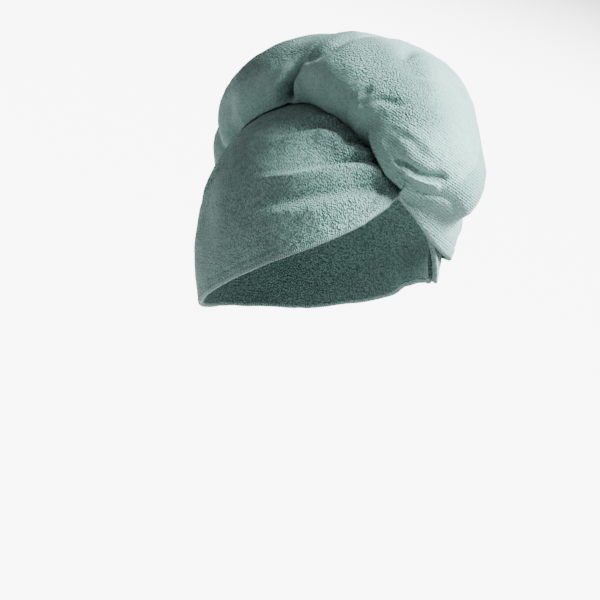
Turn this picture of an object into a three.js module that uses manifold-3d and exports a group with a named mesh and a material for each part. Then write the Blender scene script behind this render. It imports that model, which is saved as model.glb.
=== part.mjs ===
import * as THREE from 'three';
import { mergeVertices } from 'three/addons/utils/BufferGeometryUtils.js';
import Module from 'manifold-3d';

// Hair wrap in towelling, as worn: a hood, a left panel swept up over the temple,
// and a wound twist that runs over the crown to a button at the nape.
// Millimetres. X to the wearer's left, Y to the back, Z up. The origin is the top of the head hollow.

// Head hollow, measured from the middle of the head at its widest level
const HEAD_BREADTH = 164;
const HEAD_FRONT = 100;
const HEAD_BACK = 104;
const CROWN_HEIGHT = 96;
const NAPE_REACH = 135;
const CROWN_EASE = 2;
const EDGE_EASE = 5;

// Cloth
const WALL = 3;
const HEM_WIDTH = 9;
const HEM_LIFT = 1.2;
const FOLD_HEIGHT = 7;
const GAP = 0.5;

// Left panel and how far it stands off the hood
const PANEL_WALL = 3;
const PANEL_PUFF = 10;

// Twist
const TWIST_WIDTH = 82;
const TWIST_HEIGHT = 74;
const TWIST_SEAT = 0.66;
const FOOT_ROUNDNESS = 0.67;
const CREASE_DEPTH = 10;

// Button
const BUTTON_DIAMETER = 18;
const BUTTON_THICKNESS = 4;
const BUTTON_ROUND = 1.2;
const SHANK_DIAMETER = 7;
const SHANK_HEIGHT = 2.5;
const BUTTON_SEAT = { azimuth: 180, elevation: -48.5 };

// Colours
const SAGE = 0x8fb0a6;
const BUTTON_GREEN = 0x7f9c93;

// Mesh density
const HOOD_ROWS = 15;
const HOOD_STRETCHES = [
  { from: -180, to: -120, steps: 7 },
  { from: -120, to: 12, steps: 31 },
  { from: 12, to: 180, steps: 17 },
];
const TWIST_STATIONS = 72;
const TWIST_ARCS = [
  { from: -25, to: 205, steps: 24 },
  { from: 205, to: 250, steps: 3 },
  { from: 250, to: 282, steps: 4 },
  { from: 282, to: 335, steps: 4 },
];
const PANEL_COLUMNS = 27;
const PANEL_ROWS = 12;
const BUTTON_SIDES = 28;

const centre = new THREE.Vector3(0, 0, -CROWN_HEIGHT - CROWN_EASE);

// The hood's lower edge: degrees round from the face to the left, and degrees above the widest level
const HOOD_EDGE = [
  { azimuth: -180, elevation: -55 },
  { azimuth: -138, elevation: -53 },
  { azimuth: -108, elevation: -44 },
  { azimuth: -88, elevation: -31 },
  { azimuth: -70, elevation: -14.5 },
  { azimuth: -51, elevation: 4 },
  { azimuth: -34, elevation: 18 },
  { azimuth: -17, elevation: 30 },
  { azimuth: -5, elevation: 38 },
  { azimuth: 4, elevation: 43 },
  { azimuth: 10, elevation: 38.5 },
  { azimuth: 16, elevation: 33 },
  { azimuth: 26, elevation: 24 },
  { azimuth: 38, elevation: 14 },
  { azimuth: 53, elevation: 0 },
  { azimuth: 70, elevation: -15 },
  { azimuth: 88, elevation: -31 },
  { azimuth: 108, elevation: -44 },
  { azimuth: 138, elevation: -53 },
  { azimuth: 180, elevation: -55 },
];

// Folds of the right panel, as ridges that spread from under the twist. Width and lift are shares of
// HEAD_BREADTH and FOLD_HEIGHT, and lean makes the side above the ridge steeper.
const HOOD_FOLDS = [
  { azimuth: [-14, -62], elevation: [58, 41], width: 0.045, lift: 0.8, lean: 0.5 },
  { azimuth: [-62, -92], elevation: [41, 27], width: 0.045, lift: 0.5, lean: 0.5 },
  { azimuth: [-30, -78], elevation: [68, 62], width: 0.04, lift: 0.75, lean: 0.4 },
  { azimuth: [-70, -122], elevation: [74, 44], width: 0.04, lift: 0.5, lean: 0.3 },
  { azimuth: [-12, -44], elevation: [45, 29], width: 0.055, lift: 0.65, lean: 0 },
  { azimuth: [-52, -84], elevation: [27, 12], width: 0.06, lift: 0.4, lean: 0 },
  // Hollows over the left temple and at the right of the back
  { azimuth: [46, 74], elevation: [8, -20], width: 0.125, lift: -1.05, lean: 0 },
  { azimuth: [-132, -106], elevation: [6, -10], width: 0.12, lift: -0.5, lean: 0 },
];

// The left panel by columns: its lower and upper edge in degrees, and its stand-off along the column
// as shares of PANEL_PUFF
const PANEL_COLUMN_TABLE = [
  { azimuth: 5, low: 44, high: 66, lowLift: 0.1, midLift: 0.3, highLift: 0.3 },
  { azimuth: 16, low: 31.5, high: 66, lowLift: 0.1, midLift: 0.5, highLift: 0.8 },
  { azimuth: 30, low: 21.5, high: 64, lowLift: 0.1, midLift: 0.9, highLift: 1.2 },
  { azimuth: 45, low: 12.5, high: 62, lowLift: 0.1, midLift: 1.0, highLift: 1.4 },
  { azimuth: 60, low: 5, high: 62, lowLift: 0.15, midLift: 1.0, highLift: 1.3 },
  { azimuth: 78, low: -9, high: 64, lowLift: 0.15, midLift: 0.8, highLift: 1.0 },
  { azimuth: 98, low: -25, high: 66, lowLift: 0.1, midLift: 0.5, highLift: 0.8 },
  { azimuth: 125, low: -39, high: 66, lowLift: 0, midLift: 0.3, highLift: 0.6 },
  { azimuth: 152, low: -43, high: 60, lowLift: 0, midLift: 0.2, highLift: 0.3 },
  { azimuth: 172, low: -38, high: 45, lowLift: 0, midLift: 0, highLift: 0 },
];

// Gathers of the left panel, which run from the twist down to the hem, measured as HOOD_FOLDS are
const PANEL_FOLDS = [
  { azimuth: [40, 62], elevation: [44, 10], width: 0.04, lift: 0.55, lean: 0 },
  { azimuth: [58, 80], elevation: [50, 8], width: 0.04, lift: 0.9, lean: 0 },
  { azimuth: [78, 100], elevation: [52, 4], width: 0.045, lift: 0.85, lean: 0 },
  { azimuth: [104, 122], elevation: [50, 0], width: 0.045, lift: 0.75, lean: 0 },
  { azimuth: [132, 142], elevation: [40, -6], width: 0.045, lift: 0.6, lean: 0 },
];

// The twist from the left temple to the nape. Left and right are half-widths as shares of half
// TWIST_WIDTH, and rise is the half-height as a share of half TWIST_HEIGHT.
const TWIST_ROUTE = [
  { azimuth: 11, elevation: 41, left: 0.35, right: 0.4, rise: 0.25 },
  { azimuth: 15, elevation: 44, left: 0.87, right: 0.95, rise: 0.58 },
  { azimuth: 21, elevation: 49, left: 1.12, right: 1.12, rise: 0.79 },
  { azimuth: 30, elevation: 55, left: 1.02, right: 1.32, rise: 0.88 },
  { azimuth: 44, elevation: 61, left: 0.88, right: 1.7, rise: 0.96 },
  { azimuth: 72, elevation: 67.5, left: 0.88, right: 1.78, rise: 1.05 },
  { azimuth: 118, elevation: 70, left: 0.95, right: 1.82, rise: 1.01 },
  { azimuth: 150, elevation: 58, left: 0.98, right: 1.38, rise: 0.97 },
  { azimuth: 174, elevation: 36, left: 0.98, right: 1.3, rise: 0.99 },
  { azimuth: 180, elevation: 14, left: 0.9, right: 0.86, rise: 0.79 },
  { azimuth: 180, elevation: -6, left: 0.8, right: 0.56, rise: 0.6 },
  { azimuth: 180, elevation: -22, left: 0.66, right: 0.52, rise: 0.48 },
  { azimuth: 180, elevation: -34, left: 0.5, right: 0.45, rise: 0.34 },
  { azimuth: 180, elevation: -42, left: 0.24, right: 0.24, rise: 0.14 },
];

// Creases of the twist: along is a share of the route, round is degrees from the left side over the top.
// Width is a share of TWIST_WIDTH and depth of CREASE_DEPTH; a negative depth is a swelling.
const TWIST_CREASES = [
  { along: [0.49, 0.578], round: [120, 155], width: 0.06, depth: 0.6 },
  { along: [0.58, 0.6], round: [165, 200], width: 0.06, depth: 1.5 },
  { along: [0.605, 0.632], round: [205, 240], width: 0.06, depth: 1.5 },
  { along: [0.46, 0.49], round: [40, 110], width: 0.08, depth: 0.5 },
  { along: [0.43, 0.34], round: [110, 98], width: 0.07, depth: 0.35 },
  { along: [0.34, 0.28], round: [98, 30], width: 0.08, depth: 0.6 },
  { along: [0.105, 0.1], round: [200, 100], width: 0.05, depth: 0.5 },
  { along: [0.63, 0.72], round: [20, 200], width: 0.09, depth: 0.6 },
  { along: [0.75, 0.84], round: [-10, 190], width: 0.08, depth: 0.55 },
];

const radians = THREE.MathUtils.degToRad;
const smooth = THREE.MathUtils.smoothstep;

function direction(azimuth, elevation) {
  const a = radians(azimuth);
  const e = radians(elevation);
  return new THREE.Vector3(Math.cos(e) * Math.sin(a), -Math.cos(e) * Math.cos(a), Math.sin(e));
}

// Distance from the centre to the scalp along a unit direction
function skullRadius(d) {
  const across = d.x / (HEAD_BREADTH / 2);
  const along = d.y / (d.y < 0 ? HEAD_FRONT : HEAD_BACK);
  const up = d.z / (d.z > 0 ? CROWN_HEIGHT : NAPE_REACH);
  return 1 / Math.hypot(across, along, up);
}

function ease(d) {
  const towardsEdge = 1 - smooth(d.z, -0.25, 0.55);
  return CROWN_EASE + (EDGE_EASE - CROWN_EASE) * towardsEdge;
}

// A ridge between two directions: 1 on its line, fading to the sides and to its ends
function ridge(d, fold) {
  const from = direction(fold.azimuth[0], fold.elevation[0]);
  const to = direction(fold.azimuth[1], fold.elevation[1]);
  const span = to.clone().sub(from);
  const along = d.clone().sub(from).dot(span) / span.lengthSq();
  const nearest = from.clone().addScaledVector(span, THREE.MathUtils.clamp(along, 0, 1));
  const offset = d.clone().sub(nearest);
  const steeper = offset.z > 0 ? 1 + 2 * fold.lean : 1;
  const distance = (offset.length() * steeper) / (2 * fold.width);
  const ends = smooth(along, -0.25, 0.2) * (1 - smooth(along, 0.8, 1.25));
  return Math.exp(-distance * distance) * ends;
}

function hoodRelief(d) {
  let lift = 0;
  for (const fold of HOOD_FOLDS) lift += fold.lift * ridge(d, fold);
  return FOLD_HEIGHT * lift;
}

function hoodInner(d) {
  return skullRadius(d) + ease(d) + hoodRelief(d);
}

function hoodOuter(d) {
  return hoodInner(d) + WALL;
}

function at(d, radius) {
  return centre.clone().addScaledVector(d, radius);
}

// Catmull-Rom through one column of a table, at a place counted in rows
function column(rows, name, place) {
  const last = rows.length - 1;
  const row = Math.min(Math.floor(place), last - 1);
  const t = place - row;
  const value = (i) => rows[THREE.MathUtils.clamp(i, 0, last)][name];
  const [a, b, c, e] = [value(row - 1), value(row), value(row + 1), value(row + 2)];
  return b + 0.5 * t * (c - a + t * (2 * a - 5 * b + 4 * c - e + t * (3 * (b - c) + e - a)));
}

// A column of a table whose rows are keyed by azimuth
function byAzimuth(rows, name, azimuth) {
  let row = 0;
  while (row < rows.length - 2 && azimuth > rows[row + 1].azimuth) row += 1;
  const share = (azimuth - rows[row].azimuth) / (rows[row + 1].azimuth - rows[row].azimuth);
  return column(rows, name, row + share);
}

// A closed mesh through loops of points. Each end is closed to a point, or like a ladder
// between the loop's first half and its second half run backwards.
function skin(loops, ladderEnds) {
  const sides = loops[0].length;
  const points = loops.flat();
  const faces = [];
  for (let row = 0; row + 1 < loops.length; row += 1) {
    for (let side = 0; side < sides; side += 1) {
      const next = (side + 1) % sides;
      const [a, b] = [row * sides + side, row * sides + next];
      faces.push([a, b, a + sides], [b, b + sides, a + sides]);
    }
  }
  for (const [start, reverse] of [[0, false], [(loops.length - 1) * sides, true]]) {
    const cap = [];
    if (ladderEnds) {
      for (let side = 0; side + 1 < sides / 2; side += 1) {
        const [a, b] = [start + side, start + side + 1];
        const [across, acrossNext] = [start + sides - 1 - side, start + sides - 2 - side];
        cap.push([a, across, b], [b, across, acrossNext]);
      }
    } else {
      const loop = points.slice(start, start + sides);
      const middle = loop.reduce((sum, p) => sum.add(p), new THREE.Vector3()).divideScalar(sides);
      points.push(middle);
      for (let side = 0; side < sides; side += 1) {
        cap.push([start + side, points.length - 1, start + ((side + 1) % sides)]);
      }
    }
    faces.push(...(reverse ? cap.map(([a, b, c]) => [a, c, b]) : cap));
  }
  return closedGeometry(points, faces);
}

function closedGeometry(points, faces) {
  let volume = 0;
  for (const [a, b, c] of faces) {
    volume += points[a].dot(points[b].clone().cross(points[c]));
  }
  const outward = volume < 0 ? faces.map(([a, b, c]) => [a, c, b]) : faces;
  const geometry = new THREE.BufferGeometry();
  geometry.setAttribute('position', new THREE.Float32BufferAttribute(points.flatMap((p) => p.toArray()), 3));
  geometry.setIndex(outward.flat());
  geometry.computeVertexNormals();
  return geometry;
}

// The angles that a table of stretches steps through
function stretch(stretches) {
  const angles = [];
  for (const { from, to, steps } of stretches) {
    for (let step = 0; step < steps; step += 1) angles.push(from + ((to - from) * step) / steps);
  }
  return angles;
}

// Rows of elevations from a top down to an edge. The last two lie on the hem band.
function rowElevations(azimuth, top, edge, rows) {
  const hem = THREE.MathUtils.radToDeg(HEM_WIDTH / hoodOuter(direction(azimuth, edge)));
  const elevations = [];
  for (let row = 0; row <= rows; row += 1) {
    elevations.push(top + ((edge + hem - top) * row) / rows);
  }
  elevations.push(edge + 0.75 * hem, edge);
  return elevations;
}

function hemLift(row, rows) {
  return row > rows ? HEM_LIFT : 0;
}

function hoodGeometry() {
  const columns = stretch(HOOD_STRETCHES).map((azimuth) => {
    const edge = byAzimuth(HOOD_EDGE, 'elevation', azimuth);
    const rows = rowElevations(azimuth, 90, edge, HOOD_ROWS).slice(1);
    return rows.map((elevation) => direction(azimuth, elevation));
  });
  const outer = [];
  const inner = [];
  for (let row = 0; row < columns[0].length; row += 1) {
    const lift = hemLift(row + 1, HOOD_ROWS);
    outer.push(columns.map((column) => at(column[row], hoodOuter(column[row]) + lift)));
    inner.unshift(columns.map((column) => at(column[row], hoodInner(column[row]))));
  }
  return skin([...outer, ...inner], false);
}

function panelRelief(d) {
  let lift = 0;
  for (const fold of PANEL_FOLDS) lift += fold.lift * ridge(d, fold);
  return FOLD_HEIGHT * lift;
}

// Inside of the left panel, which rides over the hood's hem. The share runs from its top to its hem.
function panelInner(azimuth, share, d) {
  const lift = (name) => byAzimuth(PANEL_COLUMN_TABLE, name, azimuth);
  const [high, mid, low] = [lift('highLift'), lift('midLift'), lift('lowLift')];
  const blend = (1 - share) * (1 - share) * high + 2 * share * (1 - share) * mid + share * share * low;
  return hoodOuter(d) + HEM_LIFT + GAP + PANEL_PUFF * blend + panelRelief(d);
}

function panelGeometry() {
  const first = PANEL_COLUMN_TABLE[0].azimuth;
  const last = PANEL_COLUMN_TABLE[PANEL_COLUMN_TABLE.length - 1].azimuth;
  const loops = [];
  for (let step = 0; step <= PANEL_COLUMNS; step += 1) {
    const azimuth = first + ((last - first) * step) / PANEL_COLUMNS;
    const low = byAzimuth(PANEL_COLUMN_TABLE, 'low', azimuth);
    const high = byAzimuth(PANEL_COLUMN_TABLE, 'high', azimuth);
    const outer = [];
    const inner = [];
    rowElevations(azimuth, high, low, PANEL_ROWS).forEach((elevation, row) => {
      const d = direction(azimuth, elevation);
      const radius = panelInner(azimuth, (high - elevation) / (high - low), d);
      outer.push(at(d, radius + PANEL_WALL + hemLift(row, PANEL_ROWS)));
      inner.unshift(at(d, radius));
    });
    loops.push([...outer, ...inner]);
  }
  return skin(loops, true);
}

function twistCentre(place) {
  const last = TWIST_ROUTE.length - 1;
  const row = Math.min(Math.floor(place), last - 1);
  const heading = (i) => {
    const { azimuth, elevation } = TWIST_ROUTE[THREE.MathUtils.clamp(i, 0, last)];
    return direction(azimuth, elevation);
  };
  const rows = [-1, 0, 1, 2].map((i) => heading(row + i));
  const t = place - row;
  const d = new THREE.Vector3();
  for (const axis of ['x', 'y', 'z']) {
    d[axis] = column(rows, axis, 1 + t);
  }
  d.normalize();
  const rise = (column(TWIST_ROUTE, 'rise', place) * TWIST_HEIGHT) / 2;
  return at(d, hoodOuter(d) - hoodRelief(d) + GAP + TWIST_SEAT * rise);
}

function routeLength() {
  const last = TWIST_ROUTE.length - 1;
  let length = 0;
  for (let place = 0; place < last; place += 0.1) {
    length += twistCentre(place).distanceTo(twistCentre(Math.min(place + 0.1, last)));
  }
  return length;
}

const TWIST_LENGTH = routeLength();

// How far the twist's skin is drawn in at a share of the route and at degrees round it
function creaseDepth(share, round) {
  const onSkin = (along, degrees) => {
    return new THREE.Vector2(along * TWIST_LENGTH, (radians(degrees) * TWIST_WIDTH) / 2);
  };
  let depth = 0;
  for (const crease of TWIST_CREASES) {
    const from = onSkin(crease.along[0], crease.round[0]);
    const span = onSkin(crease.along[1], crease.round[1]).sub(from);
    const offset = onSkin(share, round).sub(from);
    const along = THREE.MathUtils.clamp(offset.dot(span) / span.lengthSq(), 0, 1);
    const distance = offset.addScaledVector(span, -along).length() / (crease.width * TWIST_WIDTH);
    depth += crease.depth * Math.exp(-distance * distance);
  }
  return CREASE_DEPTH * depth;
}

// The twist's skin, grown outwards by a margin; seated on the hood unless it is a cutter.
// Its right side bends round the hood, so right half-widths are measured along the hood.
function twistGeometry(margin, seated) {
  const last = TWIST_ROUTE.length - 1;
  const loops = [];
  for (let station = 0; station <= TWIST_STATIONS; station += 1) {
    const place = (station / TWIST_STATIONS) * last;
    const middle = twistCentre(place);
    const ahead = twistCentre(Math.min(place + 0.01, last));
    const behind = twistCentre(Math.max(place - 0.01, 0));
    const tangent = ahead.sub(behind).normalize();
    const outward = middle.clone().sub(centre);
    outward.addScaledVector(tangent, -outward.dot(tangent)).normalize();
    const left = tangent.clone().cross(outward);
    middle.addScaledVector(tangent, place < last / 2 ? -margin : margin);
    const leftHalf = (column(TWIST_ROUTE, 'left', place) * TWIST_WIDTH) / 2 + margin;
    const rightHalf = (column(TWIST_ROUTE, 'right', place) * TWIST_WIDTH) / 2 + margin;
    const rise = (column(TWIST_ROUTE, 'rise', place) * TWIST_HEIGHT) / 2 + margin;
    const bend = middle.distanceTo(centre);
    const loop = [];
    for (const round of stretch(TWIST_ARCS)) {
      const [across, up] = sectionPoint(round);
      const half = across > 0 ? leftHalf : rightHalf;
      const drawn = 1 - creaseDepth(place / last, round) / Math.hypot(half * across, rise * up);
      const [aside, high] = [half * across * drawn, rise * up * drawn];
      const swing = Math.min(aside, 0) / bend;
      const p = middle.clone();
      p.addScaledVector(left, Math.max(aside, 0) + (bend + high) * Math.sin(swing));
      p.addScaledVector(outward, (bend + high) * Math.cos(swing) - bend);
      loop.push(seated ? seatOnHood(p) : p);
    }
    loops.push(loop);
  }
  return skin(loops, false);
}

// A point of the unit section. Its lower right quarter, the foot that lies on the hood, is squarer.
function sectionPoint(round) {
  const [across, up] = [Math.cos(radians(round)), Math.sin(radians(round))];
  if (across >= 0 || up >= 0) return [across, up];
  return [-((-across) ** FOOT_ROUNDNESS), -((-up) ** FOOT_ROUNDNESS)];
}

// Lifts a point that lies inside the hood's outside, with its gap, onto it
function seatOnHood(p) {
  const d = p.clone().sub(centre);
  const radius = d.length();
  d.divideScalar(radius);
  return at(d, Math.max(radius, hoodOuter(d) + GAP));
}

// The button stands on its shank along the seat's direction, clear of the hood
function buttonGeometry() {
  const [radius, shank] = [BUTTON_DIAMETER / 2, SHANK_DIAMETER / 2];
  const top = SHANK_HEIGHT + BUTTON_THICKNESS;
  const profile = [
    [0, 0],
    [shank, 0],
    [shank, SHANK_HEIGHT],
    [radius - BUTTON_ROUND, SHANK_HEIGHT],
    [radius, SHANK_HEIGHT + BUTTON_ROUND],
    [radius, top - BUTTON_ROUND],
    [radius - BUTTON_ROUND, top],
    [radius - 2 * BUTTON_ROUND, top],
    [0, top - BUTTON_ROUND / 2],
  ].map(([r, y]) => new THREE.Vector2(r, y));
  return new THREE.LatheGeometry(profile, BUTTON_SIDES);
}

function hoodPoint(azimuth, elevation) {
  const d = direction(azimuth, elevation);
  return at(d, hoodOuter(d));
}

function hoodNormal(azimuth, elevation) {
  const step = 0.5;
  const across = hoodPoint(azimuth + step, elevation).sub(hoodPoint(azimuth - step, elevation));
  const up = hoodPoint(azimuth, elevation + step).sub(hoodPoint(azimuth, elevation - step));
  return across.cross(up).normalize();
}

function seatedButton() {
  const mesh = addPiece('nape_button', buttonGeometry(), BUTTON_GREEN);
  const { azimuth, elevation } = BUTTON_SEAT;
  const normal = hoodNormal(azimuth, elevation);
  mesh.position.copy(hoodPoint(azimuth, elevation)).addScaledVector(normal, GAP);
  mesh.quaternion.setFromUnitVectors(new THREE.Vector3(0, 1, 0), normal);
}

const wasm = await Module();
wasm.setup();

function solid(geometry) {
  const bare = new THREE.BufferGeometry();
  bare.setAttribute('position', geometry.getAttribute('position'));
  bare.setIndex(geometry.getIndex());
  const merged = mergeVertices(bare, 1e-4);
  const vertProperties = new Float32Array(merged.getAttribute('position').array);
  const triVerts = new Uint32Array(merged.getIndex().array);
  return new wasm.Manifold(new wasm.Mesh({ numProp: 3, vertProperties, triVerts }));
}

function geometryOf(body) {
  const mesh = body.getMesh();
  const geometry = new THREE.BufferGeometry();
  geometry.setAttribute('position', new THREE.Float32BufferAttribute(mesh.vertProperties, 3));
  geometry.setIndex(new THREE.Uint32BufferAttribute(mesh.triVerts, 1));
  return geometry;
}

const group = new THREE.Group();

function addPiece(name, geometry, colour) {
  const material = new THREE.MeshStandardMaterial({ color: colour, roughness: 0.95, metalness: 0 });
  const mesh = new THREE.Mesh(geometry, material);
  mesh.name = name;
  group.add(mesh);
  return mesh;
}

addPiece('hood', hoodGeometry(), SAGE);
// The left panel stops at the twist's flank
let panel = solid(panelGeometry());
for (const seated of [false, true]) panel = panel.subtract(solid(twistGeometry(GAP, seated)));
addPiece('left_panel', geometryOf(panel), SAGE);
addPiece('twist_tail', twistGeometry(0, true), SAGE);
seatedButton();

export default group;
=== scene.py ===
import math

import bpy
import numpy as np
from mathutils import Matrix, Vector, noise
from mathutils.bvhtree import BVHTree


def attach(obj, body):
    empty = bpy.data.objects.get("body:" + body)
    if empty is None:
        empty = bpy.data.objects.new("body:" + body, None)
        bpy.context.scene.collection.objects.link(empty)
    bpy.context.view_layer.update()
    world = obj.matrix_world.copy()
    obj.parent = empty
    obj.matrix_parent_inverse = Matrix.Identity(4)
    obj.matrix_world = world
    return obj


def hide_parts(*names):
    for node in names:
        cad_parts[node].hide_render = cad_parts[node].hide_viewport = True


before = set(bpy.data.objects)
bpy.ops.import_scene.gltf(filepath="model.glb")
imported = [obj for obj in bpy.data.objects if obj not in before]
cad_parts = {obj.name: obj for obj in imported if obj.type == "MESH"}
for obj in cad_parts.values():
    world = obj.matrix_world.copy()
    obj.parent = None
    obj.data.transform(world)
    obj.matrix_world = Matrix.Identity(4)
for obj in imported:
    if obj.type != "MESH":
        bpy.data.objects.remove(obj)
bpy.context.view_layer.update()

# Lengths are in millimetres until a mesh is made. X is the left side as worn, Y the back, Z up.
MM = 0.001
CENTRE = np.array([0.0, 0.0, -98.0])

# Hollow, measured from CENTRE
HALF_BREADTH, FRONT, BACK, CROWN, NAPE = 82.0, 100.0, 104.0, 96.0, 135.0
CROWN_EASE, EDGE_EASE = 2.0, 5.0
WALL, GAP = 3.0, 0.5
HEM_WIDTH, HEM_LIFT, HEM_RISE, HEM_LIP = 9.0, 1.2, 0.5, 1.5
TWIST_HALF_WIDTH, TWIST_HALF_HEIGHT, TWIST_SEAT = 41.0, 37.0, 0.66

# Mean radii that turn angles into lengths on the hood and on the left panel
HOOD_RADIUS, PANEL_RADIUS = 104.0, 112.0

# Ribs of the cloth, and the mean height of its loops from 0 to 1
RIB_PITCH, LOOP_MEAN = 1.9, 0.56

# Stitches over the hems: pitch, thread radius, reach to each side of the edge, distance kept
# from the ends of a hem, and points along a stitch
STITCH_PITCH, STITCH_RADIUS, STITCH_REACH, STITCH_MARGIN, STITCH_STEPS = 1.8, 0.27, 4.2, 1.2, 13

# The hood's lower edge as (azimuth, elevation)
HOOD_EDGE = [
    (-180, -55), (-138, -53), (-108, -44), (-88, -31), (-70, -14.5), (-51, 4), (-34, 18),
    (-17, 30), (-5, 38), (4, 43), (10, 38.5), (16, 32), (24, 22.5), (29, 12), (35, 2), (45, -5),
    (55, -10), (70, -20), (88, -33), (108, -44), (138, -53), (180, -55),
]

# Folds of the right panel: path of (azimuth, elevation), width above and below the line in mm,
# and lift in mm, where a valley's lift is negative
HOOD_FOLDS = [
    dict(path=[(-109, 39), (-91, 56), (-74, 65), (-52, 67)], above=3.5, below=9, lift=4.2),
    dict(path=[(-104, 43), (-88, 60), (-70, 72), (-45, 76)], above=3.5, below=3, lift=-2.6),
    dict(path=[(-52, 70), (-38, 71), (-22, 71), (-8, 69)], above=6, below=4, lift=-11.0),
    dict(path=[(-72, 63), (-52, 65)], above=5, below=6, lift=2.4),
    dict(path=[(-50, 61), (-34, 62), (-16, 61)], above=3.5, below=7, lift=5.0),
    dict(path=[(-60, 45), (-44, 53.5), (-24, 58), (-7, 59)], above=3.6, below=2.2, lift=-4.2),
    dict(path=[(-90, 27), (-66, 39), (-48, 47.5), (-30, 53), (-12, 53)],
         above=5, below=6, lift=6.5, fade=0.32),
    dict(path=[(-86, 12), (-62, 29), (-43, 39), (-28, 43.5), (-10, 46)],
         above=6, below=6.5, lift=-5.2, fade=0.38),
    dict(path=[(-66, 18), (-46, 29), (-30, 38), (-14, 43)], above=7, below=9, lift=3.2),
    dict(path=[(-6, 47), (-11, 42.5), (-17, 37), (-27, 28)], above=1.6, below=1.8, lift=-1.8),
    dict(path=[(-112, 60), (-84, 76)], above=6, below=7, lift=2.6),
    dict(path=[(-132, 6), (-119, -2), (-106, -10)], above=25, below=25, lift=-3.5, fade=0.01),
    dict(path=[(46, 8), (60, -6), (74, -20)], above=26, below=26, lift=-7.5, fade=0.01),
]

# Twist route: azimuth, elevation, left and right half-widths and rise as shares of their halves,
# and how far the right side droops as a share of the rise
TWIST_ROUTE = np.array([
    (6.5, 42.2, 0.35, 0.6, 0.2, 0), (13, 46.5, 0.95, 1.3, 0.48, 0), (21, 50.5, 1.08, 1.35, 0.76, 0),
    (30, 55, 0.92, 1.42, 0.88, 0), (44, 61, 0.77, 1.7, 0.96, 0), (72, 67.5, 0.79, 1.78, 1.04, 0),
    (118, 70, 0.9, 1.82, 0.99, 0), (150, 58, 0.98, 1.62, 0.91, 0.1), (174, 36, 0.98, 1.68, 0.88, 0.42),
    (180, 14, 0.9, 1.2, 0.8, 0.5), (180, -6, 0.8, 0.64, 0.6, 0.35), (180, -22, 0.66, 0.5, 0.48, 0.15),
    (180, -34, 0.5, 0.45, 0.34, 0), (180, -42, 0.24, 0.24, 0.14, 0),
])

# Creases of the twist: path of (share of the route, degrees round from the left side over the top),
# half-width and depth in mm, where a swelling's depth is negative
TWIST_CREASES = [
    dict(path=[(0.572, 190), (0.571, 182), (0.565, 174), (0.557, 167), (0.549, 160)], width=3.3, depth=22.0),
    dict(path=[(0.58, 206), (0.574, 198)], width=3.0, depth=5.0),
    dict(path=[(0.582, 183), (0.58, 173), (0.57, 161)], width=4.5, depth=-2.0),
    dict(path=[(0.525, 153), (0.512, 154), (0.495, 147), (0.485, 140), (0.481, 132), (0.485, 121),
               (0.484, 95), (0.478, 40)], width=4.2, depth=3.6),
    dict(path=[(0.545, 132), (0.53, 124), (0.512, 116)], width=7.0, depth=-2.0),
    dict(path=[(0.428, 109), (0.42, 112)], width=3.6, depth=4.0),
    dict(path=[(0.42, 112), (0.401, 119), (0.372, 119), (0.356, 118), (0.348, 110), (0.349, 100),
               (0.339, 88)], width=4.2, depth=3.0),
    dict(path=[(0.405, 107), (0.388, 102)], width=6.5, depth=-2.4),
    dict(path=[(0.339, 155), (0.326, 155)], width=4.0, depth=1.8),
    dict(path=[(0.295, 164), (0.286, 148), (0.259, 139)], width=5.5, depth=2.2),
    dict(path=[(0.083, 136), (0.113, 128), (0.127, 124)], width=4.5, depth=0.9),
    dict(path=[(0.149, 126), (0.143, 116), (0.139, 109)], width=4.6, depth=-0.8),
    dict(path=[(0.11, 122), (0.098, 112), (0.1, 102)], width=7.0, depth=-2.0),
    dict(path=[(0.057, 122), (0.067, 113), (0.073, 101), (0.092, 93), (0.112, 87)], width=3.0, depth=4.0),
    dict(path=[(0.028, 118), (0.036, 95), (0.053, 77), (0.076, 68), (0.082, 52), (0.076, 31)],
         width=3.8, depth=4.0),
    dict(path=[(0.045, 108), (0.058, 93), (0.074, 80)], width=3.4, depth=-1.6),
    dict(path=[(0.661, 214), (0.64, 211), (0.62, 205)], width=3.0, depth=1.6),
    dict(path=[(0.69, 214), (0.672, 190), (0.66, 160)], width=6.0, depth=2.4),
    dict(path=[(0.66, 20), (0.69, 100), (0.73, 180), (0.735, 210)], width=6.0, depth=6.0),
    dict(path=[(0.75, -10), (0.79, 90), (0.84, 190)], width=6.5, depth=5.5),
    dict(path=[(0.88, 10), (0.9, 90), (0.93, 170)], width=4.5, depth=3.0),
]

# Left panel by columns: its hem and its top as (azimuth, elevation), and how far it stands off
# the hood at its hem, its middle and its top in mm
SHEET_COLUMNS = np.array([
    (1.2, 42.4, -7, 52.2, 0.5, 2, 2), (7.5, 36.4, -1, 48.6, 0.7, 6, 8), (15.5, 28.2, 6, 46, 0.8, 7, 8),
    (27.5, 18.6, 17, 44, 1.5, 11, 12), (43, 10.5, 32, 48, 2.5, 13, 14), (60, 3, 50, 56, 2.5, 12, 13),
    (78, -9, 72, 61, 1.5, 8, 10), (98, -25, 98, 62, 1, 5, 8), (125, -39, 125, 60, 0.5, 3, 6),
    (152, -43, 152, 52, 0.5, 2, 3), (172, -38, 172, 38, 0.5, 0.5, 0.5),
])

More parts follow.
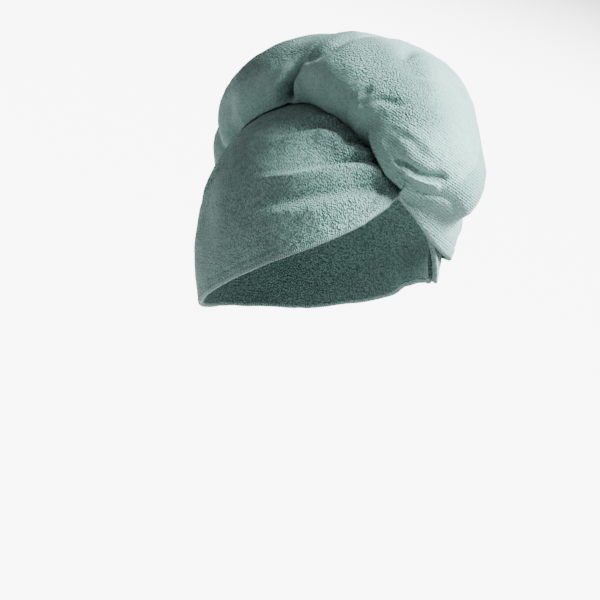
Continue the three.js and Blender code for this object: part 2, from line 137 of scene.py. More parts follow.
# Folds of the left panel, as HOOD_FOLDS
SHEET_FOLDS = [
    dict(path=[(-3, 48.7), (0.9, 45.8), (5.4, 43.9), (10, 42.9)], above=2.6, below=3.4, lift=3.2),
    dict(path=[(-0.8, 47), (2.8, 43.1), (7.8, 40.3), (12.3, 39.3), (16.4, 36.6), (21, 33)],
         above=3, below=3.4, lift=-3.6),
    dict(path=[(34, 46), (48, 30), (62, 10), (66, 2)], above=4.5, below=5.5, lift=3.0),
    dict(path=[(52, 52), (66, 32), (80, 8), (87, -13)], above=4.5, below=6, lift=4.5),
    dict(path=[(74, 56), (88, 34), (100, 4), (107, -24)], above=5, below=6.5, lift=4.2),
    dict(path=[(100, 56), (112, 32), (122, 0), (128, -32)], above=5, below=6.5, lift=3.8),
    dict(path=[(132, 48), (138, 26), (142, -6), (146, -36)], above=5, below=6.5, lift=3.2),
]

# The picture's own directions, in the frame
RIGHT = np.array([0.844, -0.464, 0.269])
UP = np.array([-0.0135, 0.483, 0.875])
RIGHT /= np.linalg.norm(RIGHT)
UP -= RIGHT * (UP @ RIGHT)
UP /= np.linalg.norm(UP)
TOWARDS = np.cross(RIGHT, UP)

# Camera: focal length and picture width in pixels, sensor width in mm, the point aimed at, and
# the eye's distance from it and shift along RIGHT and UP
FOCAL_PIXELS, PICTURE_PIXELS, SENSOR_WIDTH = 3079, 600, 36
AIM = np.array([0, -2, -148])
EYE_DISTANCE, EYE_RIGHT, EYE_UP = 2400, -4.05, -7.41

# Floor and its glow, in metres
FLOOR_HALF, FLOOR_Z = 9, -1.55
GLOW_RADIUS, GLOW_DISTANCE = 3.0, 3.4


def smooth(x, a, b):
    """A step from 0 at a to 1 at b."""
    t = np.clip((x - a) / (b - a), 0, 1)
    return t * t * (3 - 2 * t)


def direction(azimuth, elevation):
    a, e = np.radians(azimuth), np.radians(elevation)
    return np.stack([np.cos(e) * np.sin(a), -np.cos(e) * np.cos(a), np.sin(e) + 0 * a], -1)


def unit(v):
    return v / np.maximum(np.linalg.norm(v, axis=-1, keepdims=True), 1e-12)


def catmull(table, place):
    """Catmull-Rom through the rows of a table, at places counted in rows."""
    table = np.asarray(table, float)
    last = len(table) - 1
    place = np.asarray(place, float)
    row = np.clip(np.floor(place).astype(int), 0, last - 1)
    t = (place - row)[..., None]
    a, b, c, e = (table[np.clip(row + k, 0, last)] for k in (-1, 0, 1, 2))
    return b + 0.5 * t * (c - a + t * (2 * a - 5 * b + 4 * c - e + t * (3 * (b - c) + e - a)))


def hood_edge(azimuth):
    keys = np.array([k for k, _ in HOOD_EDGE], float)
    row = np.clip(np.searchsorted(keys, azimuth, side="right") - 1, 0, len(keys) - 2)
    place = row + (azimuth - keys[row]) / (keys[row + 1] - keys[row])
    return catmull(np.array(HOOD_EDGE, float), place)[..., 1]


def hollow(d):
    """Radius of the hollow at the directions d, without ease."""
    across = d[..., 0] / HALF_BREADTH
    along = d[..., 1] / np.where(d[..., 1] < 0, FRONT, BACK)
    up = d[..., 2] / np.where(d[..., 2] > 0, CROWN, NAPE)
    return 1 / np.sqrt(across**2 + along**2 + up**2)


def fold_field(d, folds, radius):
    """Height of the folds at the directions d."""
    total = np.zeros(d.shape[:-1])
    for fold in folds:
        steps = np.linspace(0, len(fold["path"]) - 1, 6 * (len(fold["path"]) - 1) + 1)
        points = unit(catmull([direction(a, e) for a, e in fold["path"]], steps))
        best = np.full(d.shape[:-1], 1e9)
        side = np.zeros(d.shape[:-1])
        place = np.zeros(d.shape[:-1])
        for k, (a, b) in enumerate(zip(points[:-1], points[1:])):
            span = b - a
            along = np.clip(((d - a) @ span) / (span @ span), 0, 1)
            offset = d - a - along[..., None] * span
            distance = np.linalg.norm(offset, axis=-1)
            normal = np.cross(a, b)
            normal = normal * (1 if normal[2] >= 0 else -1)
            closer = distance < best
            best = np.where(closer, distance, best)
            side = np.where(closer, d @ normal, side)
            place = np.where(closer, (k + along) / (len(points) - 1), place)
        width = np.where(side > 0, fold["above"], fold["below"])
        fade = smooth(place, 0, fold.get("fade", 0.45))
        total += fold["lift"] * fade * np.exp(-((best * radius / width) ** 2))
    return total


def lumps(points, size, seed):
    """Smooth seeded noise from -1 to 1 at points in mm."""
    flat = points.reshape(-1, 3) / size + seed
    values = [noise.noise(Vector(p)) for p in flat.tolist()]
    return np.array(values).reshape(points.shape[:-1])


def eased_hollow(d):
    ease = CROWN_EASE + (EDGE_EASE - CROWN_EASE) * (1 - smooth(d[..., 2], -0.25, 0.55))
    return hollow(d) + ease


def hood_plain(d):
    """Outer radius of the hood without its folds."""
    return eased_hollow(d) + WALL


def hood_inner(d):
    return eased_hollow(d) + fold_field(d, HOOD_FOLDS, HOOD_RADIUS)


def hood_outer(d):
    return hood_inner(d) + WALL


def at(d, radius):
    """Points at a radius from CENTRE along the directions d."""
    return CENTRE + d * np.asarray(radius)[..., None]


def loft(loops, ends):
    """Faces of a closed skin through loops of equal length. ends is point or ladder."""
    count, sides = loops.shape[:2]
    points = loops.reshape(-1, 3).tolist()
    row, side = np.meshgrid(np.arange(count - 1), np.arange(sides), indexing="ij")
    following = (side + 1) % sides
    quads = np.stack([row * sides + side, row * sides + following,
                      (row + 1) * sides + following, (row + 1) * sides + side], -1).reshape(-1, 4)
    faces = quads.tolist()
    for start, flip in ((0, True), ((count - 1) * sides, False)):
        if ends == "point":
            points.append(np.mean(points[start:start + sides], axis=0).tolist())
            cap = [(start + k, start + (k + 1) % sides, len(points) - 1) for k in range(sides)]
        else:
            cap = [(start + k, start + k + 1, start + sides - 2 - k, start + sides - 1 - k)
                   for k in range(sides // 2 - 1)]
        faces += [tuple(reversed(f)) if flip else f for f in cap]
    return points, faces


def add_mesh(name, points, faces, material):
    """A smooth piece from points in mm, faced outwards, that rides on the root."""
    mesh = bpy.data.meshes.new(name)
    mesh.from_pydata((np.array(points) * MM).tolist(), [], faces)
    mesh.validate()
    mesh.polygons.foreach_set("use_smooth", [True] * len(mesh.polygons))
    mesh.update()
    volume = 0.0
    co = np.array([v.co for v in mesh.vertices])
    for p in mesh.polygons:
        a, b, c = (co[p.vertices[k]] for k in (0, 1, 2))
        volume += a @ np.cross(b, c)
        if len(p.vertices) == 4:
            e = co[p.vertices[3]]
            volume += a @ np.cross(c, e)
    if volume < 0:
        mesh.flip_normals()
    obj = bpy.data.objects.new(name, mesh)
    bpy.context.scene.collection.objects.link(obj)
    obj.data.materials.append(material)
    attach(obj, "root")
    return obj


def put_attribute(obj, name, kind, values):
    """Stores values on the first points of a mesh and nought on the rest."""
    data = obj.data.attributes.new(name, kind, "POINT").data
    count = len(obj.data.vertices)
    values = np.asarray(values, np.float32)
    if kind == "FLOAT_VECTOR":
        flat = np.zeros((count, 3), np.float32)
        flat[: len(values)] = values
        data.foreach_set("vector", flat.ravel())
    else:
        flat = np.zeros(count, np.float32)
        flat[: len(values)] = values
        data.foreach_set("value", flat)


def relax(floor, steps):
    """A taut skin over a grid of heights: smoothed, never under the floor, and pinned at the hem."""
    field = floor
    for _ in range(steps):
        padded = np.pad(field, 1, mode="edge")
        mean = (padded[:-2, 1:-1] + padded[2:, 1:-1] + padded[1:-1, :-2] + padded[1:-1, 2:]) / 4
        field = np.maximum(floor, 0.35 * field + 0.65 * mean)
        field[:, 0] = floor[:, 0]
    return field


# ---- materials -----------------------------------------------------------------------------

def node(tree, kind, **settings):
    made = tree.nodes.new(kind)
    for key, value in settings.items():
        setattr(made, key, value)
    return made


def math_node(tree, operation, a, b):
    made = node(tree, "ShaderNodeMath", operation=operation)
    for socket, value in zip(made.inputs, (a, b)):
        if isinstance(value, (int, float)):
            socket.default_value = value
        else:
            tree.links.new(value, socket)
    return made.outputs[0]


def towelling(name, dark, light, depth=1.0):
    """Short looped pile in rows. The attribute rib adds ribs, nubs raises the loops and deepens the painted
    shade between them, and the attribute of painted light and shade lightens or darkens the colour."""
    material = bpy.data.materials.new(name)
    material.use_nodes = True
    tree = material.node_tree
    links = tree.links
    shader = tree.nodes["Principled BSDF"]
    cloth = node(tree, "ShaderNodeAttribute", attribute_name="cloth")
    rib = node(tree, "ShaderNodeAttribute", attribute_name="rib")
    place = node(tree, "ShaderNodeTexCoord")

    bend = node(tree, "ShaderNodeTexNoise", noise_dimensions="3D")
    bend.inputs["Scale"].default_value = 90.0
    bend.inputs["Detail"].default_value = 2.0
    links.new(place.outputs["Object"], bend.inputs["Vector"])
    wander = node(tree, "ShaderNodeVectorMath", operation="MULTIPLY_ADD")
    links.new(bend.outputs["Color"], wander.inputs[0])
    wander.inputs[1].default_value = (2.2, 2.2, 2.2)
    links.new(cloth.outputs["Vector"], wander.inputs[2])

    rows = node(tree, "ShaderNodeMapping")
    rows.inputs["Scale"].default_value = (1 / 1.5, 1 / 1.75, 1 / 1.6)
    links.new(wander.outputs[0], rows.inputs["Vector"])
    loops = node(tree, "ShaderNodeTexVoronoi", voronoi_dimensions="3D", feature="F1")
    loops.inputs["Scale"].default_value = 1.0
    loops.inputs["Randomness"].default_value = 0.75
    links.new(rows.outputs[0], loops.inputs["Vector"])
    loop_height = math_node(tree, "SUBTRACT", 1.0, loops.outputs["Distance"])

    ribs = node(tree, "ShaderNodeTexWave", wave_type="BANDS", bands_direction="Y", wave_profile="SIN")
    ribs.inputs["Scale"].default_value = 2 * math.pi / 20 / RIB_PITCH
    ribs.inputs["Distortion"].default_value = 0.0
    links.new(wander.outputs[0], ribs.inputs["Vector"])
    rib_height = math_node(tree, "MULTIPLY", ribs.outputs["Fac"], rib.outputs["Fac"])

    fuzz = node(tree, "ShaderNodeTexNoise", noise_dimensions="3D")
    fuzz.inputs["Scale"].default_value = 900.0
    fuzz.inputs["Detail"].default_value = 3.0
    links.new(place.outputs["Object"], fuzz.inputs["Vector"])

    nubs = node(tree, "ShaderNodeAttribute", attribute_name="nubs")
    loop_height = math_node(tree, "MULTIPLY", math_node(tree, "SUBTRACT", loop_height, LOOP_MEAN),
                            math_node(tree, "ADD", nubs.outputs["Fac"], 1.0))
    loop_height = math_node(tree, "ADD", loop_height, LOOP_MEAN)
    height = math_node(tree, "ADD", math_node(tree, "MULTIPLY", loop_height, 0.62), rib_height)
    height = math_node(tree, "ADD", height, math_node(tree, "MULTIPLY", fuzz.outputs["Fac"], 0.45))
    bump = node(tree, "ShaderNodeBump")
    bump.inputs["Strength"].default_value = 0.9
    bump.inputs["Distance"].default_value = 0.0011 * depth
    links.new(height, bump.inputs["Height"])
    links.new(bump.outputs["Normal"], shader.inputs["Normal"])

    patches = node(tree, "ShaderNodeTexNoise", noise_dimensions="3D")
    patches.inputs["Scale"].default_value = 45.0
    patches.inputs["Detail"].default_value = 4.0
    links.new(place.outputs["Object"], patches.inputs["Vector"])
    # The colour is darker where the pile lies low between the loops and ribs, a painted shade, and varies in
    # random patches of the cloth's own tone
    shade = math_node(tree, "ADD", math_node(tree, "MULTIPLY", height, 0.55),
                      math_node(tree, "MULTIPLY", patches.outputs["Fac"], 0.35))
    # Painted light and shade from the mesh's attribute lightens or darkens the colour
    painted_light_and_shade = node(tree, "ShaderNodeAttribute", attribute_name="painted_light_and_shade")
    shade = math_node(tree, "ADD", shade, painted_light_and_shade.outputs["Fac"])
    ramp = node(tree, "ShaderNodeValToRGB")
    ramp.color_ramp.elements[0].position = 0.25
    ramp.color_ramp.elements[0].color = (*dark, 1)
    ramp.color_ramp.elements[1].position = 0.95
    ramp.color_ramp.elements[1].color = (*light, 1)
    links.new(shade, ramp.inputs["Fac"])
    links.new(ramp.outputs["Color"], shader.inputs["Base Color"])
    shader.inputs["Roughness"].default_value = 0.95
    shader.inputs["Specular IOR Level"].default_value = 0.2
    shader.inputs["Sheen Weight"].default_value = 0.25
    shader.inputs["Sheen Roughness"].default_value = 0.55
    shader.inputs["Sheen Tint"].default_value = (0.85, 0.95, 0.93, 1)
    return material


def satin_plastic(name, colour):
    material = bpy.data.materials.new(name)
    material.use_nodes = True
    tree = material.node_tree
    shader = tree.nodes["Principled BSDF"]
    place = node(tree, "ShaderNodeTexCoord")
    clouds = node(tree, "ShaderNodeTexNoise", noise_dimensions="3D")
    clouds.inputs["Scale"].default_value = 260.0
    clouds.inputs["Detail"].default_value = 5.0
    tree.links.new(place.outputs["Object"], clouds.inputs["Vector"])
    ramp = node(tree, "ShaderNodeValToRGB")
    ramp.color_ramp.elements[0].color = (*[c * 0.8 for c in colour], 1)
    ramp.color_ramp.elements[1].color = (*[min(1, c * 1.15) for c in colour], 1)
    tree.links.new(clouds.outputs["Fac"], ramp.inputs["Fac"])
    tree.links.new(ramp.outputs["Color"], shader.inputs["Base Color"])
    bump = node(tree, "ShaderNodeBump")
    bump.inputs["Strength"].default_value = 0.25
    bump.inputs["Distance"].default_value = 0.0002
    tree.links.new(clouds.outputs["Fac"], bump.inputs["Height"])
    tree.links.new(bump.outputs["Normal"], shader.inputs["Normal"])
    shader.inputs["Roughness"].default_value = 0.38
    return material


# Dark and light ends of the colour ramps; the dark ends also stand for painted shade and the light ends for
# painted light
SAGE_DARK, SAGE_LIGHT = (0.115, 0.205, 0.185), (0.36, 0.55, 0.51)
THREAD_DARK, THREAD_LIGHT = (0.30, 0.41, 0.385), (0.5, 0.62, 0.59)
BUTTON_GREEN = (0.17, 0.31, 0.26)
towel = towelling("towelling", SAGE_DARK, SAGE_LIGHT)
thread = towelling("overlock_thread", THREAD_DARK, THREAD_LIGHT, depth=0.3)
button_plastic = satin_plastic("button_plastic", BUTTON_GREEN)


# ---- hood ----------------------------------------------------------------------------------

def hem_profile(outer, inner, down, count=5):
    """Half-round edge between the last outer and the first inner point."""
    middle, half = (outer + inner) / 2, (outer - inner) / 2
    reach = np.linalg.norm(half, axis=-1, keepdims=True)
    turns = np.pi * np.arange(1, count) / count
    return [middle + half * math.cos(t) + down * reach * math.sin(t) for t in turns]


def make_hood():
    """The hood's skin, and the strip of its loops round the hem for the stitches."""
    # Finer where the photograph shows the folds and the left corner of the hem
    azimuth = np.concatenate([np.arange(-180, -132, 2.0), np.arange(-132, 14, 0.72),
                              np.arange(14, 50, 0.4), np.arange(50, 180, 2.0)])
    edge = hood_edge(azimuth)
    edge_radius = hood_plain(direction(azimuth, edge))
    hem = np.degrees((HEM_WIDTH + HEM_LIP) / edge_radius)
    lip = np.degrees(HEM_LIP / edge_radius)
    outer, inner, cloth = [], [], []
    for share in 1 - (1 - np.linspace(0, 1, 132)[1:]) ** 1.12:
        elevation = 90 + (edge + lip - 90) * share
        d = direction(azimuth, elevation)
        above = (elevation - edge - lip) / (hem - lip)
        radius = hood_outer(d)
        base = at(d, radius)
        radius = radius + HEM_RISE * (1 - smooth(above, 0.86, 1.06))
        radius = radius - 0.35 * np.exp(-(((above - 1.08) / 0.10) ** 2))
        for height, size, seed in ((0.55, 17.0, 3.1), (0.3, 6.0, 8.7), (0.2, 2.4, 27.0)):
            radius = radius + height * lumps(base, size, seed)
        outer.append(at(d, radius))
        cloth.append(np.stack([np.radians(azimuth) * 100 * np.cos(np.radians(elevation)),
                               np.radians(elevation) * HOOD_RADIUS, radius], -1))
    for share in np.linspace(0, 1, 44)[1:]:
        d = direction(azimuth, 90 + (edge + lip - 90) * share)
        radius = hood_inner(d)
        inner.append(at(d, radius + 0.4 * lumps(at(d, radius), 14.0, 21.0)))
    outer, inner = np.array(outer), np.array(inner)[::-1]
    rim = np.array(hem_profile(outer[-1], inner[0], unit(outer[-1] - outer[-3])))
    loops = np.concatenate([outer, rim, inner])
    points, faces = loft(loops, "point")
    hood = add_mesh("hood_cloth", points, faces, towel)
    inside = loops[len(outer):][..., [0, 2, 1]].reshape(-1, 3)
    cloth = np.array(cloth).reshape(-1, 3)
    put_attribute(hood, "cloth", "FLOAT_VECTOR", np.concatenate([cloth, inside]))
    put_attribute(hood, "rib", "FLOAT", np.full(len(cloth), 0.04))
    put_attribute(hood, "nubs", "FLOAT", np.full(len(points), 2.3))
    return hood, np.concatenate([outer[-12:], rim, inner[:8]])


# ---- twist ---------------------------------------------------------------------------------

def twist_centre(place):
    headings = direction(TWIST_ROUTE[:, 0], TWIST_ROUTE[:, 1])
    d = unit(catmull(headings, place))
    rise = catmull(TWIST_ROUTE, place)[..., 4] * TWIST_HALF_HEIGHT
    return at(d, hood_plain(d) + GAP + TWIST_SEAT * rise)


LAST = len(TWIST_ROUTE) - 1
ROUTE = twist_centre(np.linspace(0, LAST, 40 * LAST + 1))
TWIST_LENGTH = float(np.linalg.norm(np.diff(ROUTE, axis=0), axis=1).sum())


def crease_depth(share, turn):
    """How far the twist's skin is drawn in, in mm, at shares of the route and degrees round it."""
    skin = np.stack([share * TWIST_LENGTH, np.radians(turn) * TWIST_HALF_WIDTH], -1)
    depth = np.zeros(share.shape)
    for crease in TWIST_CREASES:
        path = np.array(crease["path"], float)
        steps = np.linspace(0, len(path) - 1, 5 * (len(path) - 1) + 1)
        path = catmull(path, steps)
        path = np.stack([path[:, 0] * TWIST_LENGTH, np.radians(path[:, 1]) * TWIST_HALF_WIDTH], -1)
        best = np.full(share.shape, 1e9)
        for a, b in zip(path[:-1], path[1:]):
            span = b - a
            along = np.clip(((skin - a) @ span) / (span @ span), 0, 1)
            best = np.minimum(best, np.linalg.norm(skin - a - along[..., None] * span, axis=-1))
        depth += crease["depth"] * np.exp(-((best / crease["width"]) ** 2))
    return depth


def evened(points, reach):
    """Points blurred along the first axis, with a reach counted in rows."""
    offsets = np.arange(-3 * reach, 3 * reach + 1)
    weights = np.exp(-0.5 * (offsets / reach) ** 2)
    padded = np.pad(points, ((3 * reach, 3 * reach), (0, 0), (0, 0)), mode="edge")
    total = sum(w * padded[k:k + len(points)] for k, w in enumerate(weights))
    return total / weights.sum()


def picture_cloth(points):
    """Cloth coordinates whose rows run down to the picture's right across the front."""
    across = 0.57 * RIGHT + 0.82 * UP
    along = 0.82 * RIGHT - 0.57 * UP
    return np.stack([points @ along, points @ across, points @ TOWARDS], -1)


def make_twist():
    """The twist's skin, and its points and faces for the panel that lies on it."""
    stations = 372
    place = np.linspace(0, 1, stations + 1) * LAST
    middle = twist_centre(place)
    tangent = unit(twist_centre(np.minimum(place + 0.01, LAST))
                   - twist_centre(np.maximum(place - 0.01, 0)))
    outward = middle - CENTRE
    outward = unit(outward - tangent * (outward * tangent).sum(-1, keepdims=True))
    left = np.cross(tangent, outward)
    halves = catmull(TWIST_ROUTE, place)
    turn = np.concatenate([np.arange(-30, 235, 1.75), np.arange(235, 330, 6.0)])
    cosine, sine = np.cos(np.radians(turn)), np.sin(np.radians(turn))
    # The right side's foot is squarer than an ellipse
    foot = (cosine < 0) & (sine < 0)
    cosine = np.where(foot, -np.abs(cosine) ** (2 / 3), cosine)
    sine = np.where(foot, -np.abs(sine) ** (2 / 3), sine)
    half = np.where(cosine[None] > 0, halves[:, 2, None], halves[:, 3, None])
    half = half * TWIST_HALF_WIDTH
    rise = halves[:, 4, None] * TWIST_HALF_HEIGHT
    share = np.repeat((place / LAST)[:, None], len(turn), 1)
    turns = np.repeat(turn[None], len(place), 0)
    bend = np.linalg.norm(middle - CENTRE, axis=-1)[:, None]
    aside = half * cosine
    high = rise * (sine - halves[:, 5, None] * np.minimum(cosine, 0) ** 2)
    swing = np.minimum(aside, 0) / bend
    sideways = np.maximum(aside, 0) + (bend + high) * np.sin(swing)
    upward = (bend + high) * np.cos(swing) - bend
    points = middle[:, None] + left[:, None] * sideways[..., None] + outward[:, None] * upward[..., None]
    # On the inside of the bend the sections would cross, so they are evened out along the route
    even = smooth(turn, 115, 165) * (1 - smooth(turn, 250, 300))
    even = (even * (smooth(share, 0, 0.05) * (1 - smooth(share, 0.93, 1))))[..., None]
    points = (1 - even) * points + even * evened(points, 9)
    aim = unit(np.cross(np.gradient(points, axis=1), np.gradient(points, axis=0)))
    core = points - middle[:, None]
    aim = aim * np.sign((aim * core).sum())
    drawn = np.clip(crease_depth(share, turns), -9, 0.72 * np.linalg.norm(core, axis=-1))
    points = points - aim * drawn[..., None]
    points = points + aim * (0.9 * lumps(points, 19.0, 5.5) + 0.35 * lumps(points, 6.5, 12.0)
                             + 0.22 * lumps(points, 2.4, 33.0))[..., None]
    d = unit(points - CENTRE)
    radius = np.linalg.norm(points - CENTRE, axis=-1)
    points = at(d, np.maximum(radius, hood_outer(d) + GAP + 0.9))
    mesh_points, faces = loft(points, "point")
    twist = add_mesh("twist_cloth", mesh_points, faces, towel)
    put_attribute(twist, "cloth", "FLOAT_VECTOR", picture_cloth(points).reshape(-1, 3))
    # Its ribs show only near its start
    start = smooth(-share, -0.34, -0.16) * smooth(turns, 20, 60)
    put_attribute(twist, "rib", "FLOAT", (0.03 + 0.25 * start).ravel())
    # The pile stands up and looks coarser over the front of the twist, and there its colour is darkened as a
    # painted shade
    front = smooth(turns, 104, 122) * (1 - smooth(turns, 135, 158))
    front = front * smooth(share, 0.12, 0.22) * (1 - smooth(share, 0.6, 0.68))
    put_attribute(twist, "nubs", "FLOAT", (2.2 * front).ravel())
    # Painted light and shade: the colour is lighter from the left side up to the top, where the key light
    # falls, and darker over the front
    painted_light_and_shade = 0.26 * (1 - smooth(turns, 94, 116)) - 0.22 * front
    put_attribute(twist, "painted_light_and_shade", "FLOAT", painted_light_and_shade.ravel())
    return twist, mesh_points, faces


# ---- left panel ----------------------------------------------------------------------------

def make_sheet(twist_points, twist_faces):
    """The left panel's skin, laid over the hood and the twist, and the strip along its hem."""
    tree = BVHTree.FromPolygons(twist_points, twist_faces)
    last = len(SHEET_COLUMNS) - 1
    columns = np.concatenate([np.linspace(0, 6, 150, endpoint=False), np.linspace(6, last, 62)])
    table = catmull(SHEET_COLUMNS, columns)
    shares = np.linspace(0, 1, 92)
    hem, top = direction(table[:, 0], table[:, 1]), direction(table[:, 2], table[:, 3])
    arc = np.arccos(np.clip((hem * top).sum(-1), -1, 1))[:, None, None]
    s = shares[None, :, None]
    d = (np.sin((1 - s) * arc) * hem[:, None] + np.sin(s * arc) * top[:, None]) / np.sin(arc)
    low, mid, high = (table[:, None, k] for k in (4, 5, 6))
    s = shares[None]
    stand = (1 - s) ** 2 * low + 2 * s * (1 - s) * mid + s**2 * high
    from_hem = s * arc[..., 0] * HOOD_RADIUS
    panel = hood_outer(d) + HEM_LIFT + GAP + stand
    # Radius of the twist's top in each direction, and nought where the twist isn't there
    tube = np.zeros(panel.shape)
    for i in range(d.shape[0]):
        for j in range(d.shape[1]):
            aim = Vector(d[i, j])
            hit = tree.ray_cast(Vector(CENTRE) + aim * 300, -aim, 300)[0]
            if hit is not None:
                tube[i, j] = (hit - Vector(CENTRE)).length
    inner = relax(np.maximum(panel, tube + 0.3), 160)
    relief = fold_field(d, SHEET_FOLDS, PANEL_RADIUS)
    inner = np.maximum(np.maximum(inner + relief, tube + 0.3), hood_outer(d) + HEM_LIFT + GAP)
    base = at(d, inner)
    # Near its top and its start the panel thins out and tucks into the twist
    steps_in = PANEL_RADIUS * np.linalg.norm(np.diff(hem, axis=0), axis=1)
    from_start = np.concatenate([[0], np.cumsum(steps_in)])[:, None]
    to_top = np.minimum((1 - s) * arc[..., 0] * HOOD_RADIUS,
                        1.6 * from_start + 30 * (1 - smooth(s, 0, 0.35)))
    thick = 0.25 + (WALL - 0.25) * smooth(to_top, 0, 16)
    inner = inner - 2.4 * (1 - smooth(to_top, 0, 5))
    above = (from_hem - 1.0) / HEM_WIDTH
    calm = smooth(to_top, 0, 14)
    outer = inner + thick + calm * (0.6 * lumps(base, 17.0, 31.0) + 0.3 * lumps(base, 6.0, 44.0))
    outer = outer + HEM_RISE * (1 - smooth(above, 0.86, 1.06))
    outer = outer - 0.4 * np.exp(-(((above - 1.08) / 0.10) ** 2))
    outer = np.maximum(outer, inner + 0.2)
    outside, inside = at(d, outer), at(d, inner)
    down = unit(outside[:, 0] - outside[:, 2])
    rim = np.stack(hem_profile(outside[:, 0], inside[:, 0], down), 1)
    loops = np.concatenate([outside[:, ::-1], rim, inside], axis=1)
    points, faces = loft(loops, "ladder")
    sheet = add_mesh("left_panel_cloth", points, faces, towel)
    put_attribute(sheet, "cloth", "FLOAT_VECTOR", picture_cloth(loops).reshape(-1, 3))
    put_attribute(sheet, "rib", "FLOAT", np.full(loops.shape[0] * loops.shape[1], 0.3))
    return sheet, np.concatenate([outside[:, 14::-1], rim, inside[:, :14]], 1).swapaxes(0, 1)


# ---- stitches ------------------------------------------------------------------------------

def tubes(paths, aims, radius, sides=5):
    """Closed tubes along paths of points, each with its own two end faces."""
    count, steps = paths.shape[:2]
    along = unit(np.gradient(paths, axis=1))
    across = unit(np.cross(along, aims))
    over = np.cross(across, along)
    turns = 2 * np.pi * np.arange(sides) / sides
    rings = np.stack([paths + radius * (math.cos(t) * across + math.sin(t) * over) for t in turns], 2)
    row, side = np.meshgrid(np.arange(steps - 1), np.arange(sides), indexing="ij")
    following = (side + 1) % sides
    skin = np.stack([row * sides + side, row * sides + following,
                     (row + 1) * sides + following, (row + 1) * sides + side], -1).reshape(-1, 4)
    ends = [list(range(sides))[::-1], [(steps - 1) * sides + k for k in range(sides)]]
    faces = []
    for k in range(count):
        first = k * steps * sides
        faces += (skin + first).tolist() + [[first + v for v in end] for end in ends]
    return rings.reshape(-1, 3), faces


def overlock(name, strip):
    """Slanted stitches over an edge. The strip runs across the edge, then along the hem."""
    middle = strip.shape[0] // 2 + 1
    across = np.cumsum(np.linalg.norm(np.diff(strip, axis=0, prepend=strip[:1]), axis=-1), axis=0)
    across = across - across[middle]
    places = np.linspace(-STITCH_REACH, STITCH_REACH, STITCH_STEPS)
    even = np.array([[np.interp(places, across[:, j], strip[:, j, k]) for k in range(3)]
                     for j in range(strip.shape[1])]).transpose(2, 0, 1)
    fold = even[STITCH_STEPS // 2]
    hem = np.cumsum(np.linalg.norm(np.diff(fold, axis=0, prepend=fold[:1]), axis=-1))
    starts = np.arange(STITCH_MARGIN, hem[-1] - STITCH_MARGIN, STITCH_PITCH)
    aims = unit(np.cross(np.gradient(even, axis=0), np.gradient(even, axis=1)))
    if ((even[0] - CENTRE) * aims[0]).sum() < 0:
        aims = -aims
    paths, lifts = [], []
    for k, place in enumerate(places):
        at_hem = starts + STITCH_PITCH / 2 * place / (2 * STITCH_REACH)
        paths.append(np.stack([np.interp(at_hem, hem, even[k, :, c]) for c in range(3)], -1))
        lifts.append(np.stack([np.interp(at_hem, hem, aims[k, :, c]) for c in range(3)], -1))
    paths, lifts = np.array(paths).swapaxes(0, 1), unit(np.array(lifts).swapaxes(0, 1))
    points, faces = tubes(paths + 0.1 * lifts, lifts, STITCH_RADIUS)
    stitches = add_mesh(name, points, faces, thread)
    return stitches


hood, hood_strip = make_hood()
twist, twist_points, twist_faces = make_twist()
sheet, sheet_strip = make_sheet(twist_points, twist_faces)
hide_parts("hood")
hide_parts("twist_tail")
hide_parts("left_panel")
hood_stitches = overlock("hood_overlock", hood_strip)
sheet_stitches = overlock("left_panel_overlock", sheet_strip)


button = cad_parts["nape_button"]
button.data.materials.clear()
button.data.materials.append(button_plastic)


# ---- floor, lights and camera --------------------------------------------------------------

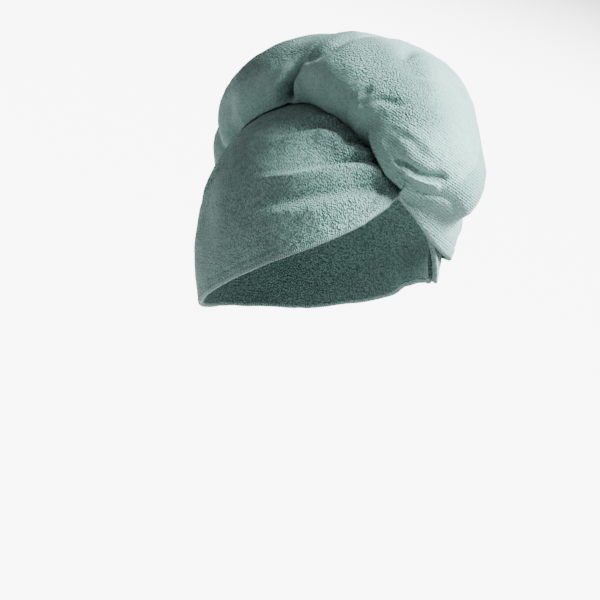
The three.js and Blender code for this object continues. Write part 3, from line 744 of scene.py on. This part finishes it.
def glowing_floor():
    """Pale floor with a studio backdrop's glow: bright behind the piece and soft elsewhere."""
    material = bpy.data.materials.new("pale_floor")
    material.use_nodes = True
    tree = material.node_tree
    shader = tree.nodes["Principled BSDF"]
    shader.inputs["Base Color"].default_value = (0.93, 0.93, 0.93, 1)
    shader.inputs["Roughness"].default_value = 1.0
    shader.inputs["Emission Strength"].default_value = 8.0
    place = node(tree, "ShaderNodeTexCoord")
    shift = node(tree, "ShaderNodeMapping")
    behind = -GLOW_DISTANCE * TOWARDS
    shift.inputs["Scale"].default_value = (1 / GLOW_RADIUS, 1 / GLOW_RADIUS, 0)
    shift.inputs["Location"].default_value = (-behind[0] / GLOW_RADIUS, -behind[1] / GLOW_RADIUS, 0)
    glow = node(tree, "ShaderNodeTexGradient", gradient_type="SPHERICAL")
    ramp = node(tree, "ShaderNodeValToRGB")
    ramp.color_ramp.interpolation = "EASE"
    ramp.color_ramp.elements[0].position = 0.0
    ramp.color_ramp.elements[0].color = (0.05, 0.05, 0.05, 1)
    ramp.color_ramp.elements[1].position = 0.45
    ramp.color_ramp.elements[1].color = (1, 1, 1, 1)
    tree.links.new(place.outputs["Object"], shift.inputs["Vector"])
    tree.links.new(shift.outputs[0], glow.inputs["Vector"])
    tree.links.new(glow.outputs["Fac"], ramp.inputs["Fac"])
    tree.links.new(ramp.outputs["Color"], shader.inputs["Emission Color"])
    return material


corners = [(x * FLOOR_HALF, y * FLOOR_HALF, FLOOR_Z) for x, y in ((-1, -1), (1, -1), (1, 1), (-1, 1))]
floor_mesh = bpy.data.meshes.new("floor")
floor_mesh.from_pydata(corners, [], [(0, 1, 2, 3)])
floor = bpy.data.objects.new("floor", floor_mesh)
bpy.context.scene.collection.objects.link(floor)
floor.data.materials.append(glowing_floor())

world = bpy.data.worlds.new("studio")
bpy.context.scene.world = world
world.use_nodes = True
world.node_tree.nodes["Background"].inputs["Color"].default_value = (0.95, 0.98, 1.0, 1)
world.node_tree.nodes["Background"].inputs["Strength"].default_value = 0.18


def area_light(name, aim, distance, size, power, colour=(1, 1, 1)):
    light = bpy.data.lights.new(name, "AREA")
    light.size = size
    light.energy = power
    light.color = colour
    obj = bpy.data.objects.new(name, light)
    bpy.context.scene.collection.objects.link(obj)
    target = Vector((0, 0.01, -0.06))
    aim = Vector(unit(np.array(aim)))
    obj.location = target + aim * distance
    obj.rotation_euler = aim.to_track_quat("Z", "Y").to_euler()
    return obj


area_light("key", 0.9 * RIGHT + 0.5 * UP + 0.37 * TOWARDS, distance=1.7, size=0.8, power=195,
           colour=(0.82, 1.0, 0.975))
area_light("fill", 0.5 * RIGHT + 0.4 * UP + 1.0 * TOWARDS, distance=2.6, size=1.6, power=13)

camera_data = bpy.data.cameras.new("camera")
camera = bpy.data.objects.new("camera", camera_data)
bpy.context.scene.collection.objects.link(camera)
camera_data.sensor_width = SENSOR_WIDTH
camera_data.lens = FOCAL_PIXELS / PICTURE_PIXELS * SENSOR_WIDTH
camera_data.clip_start, camera_data.clip_end = 0.1, 40
eye = AIM + EYE_DISTANCE * TOWARDS + EYE_RIGHT * RIGHT + EYE_UP * UP
matrix = np.eye(4)
matrix[:3, 0], matrix[:3, 1], matrix[:3, 2], matrix[:3, 3] = RIGHT, UP, TOWARDS, eye * MM
camera.matrix_world = Matrix(matrix.tolist())
bpy.context.scene.camera = camera
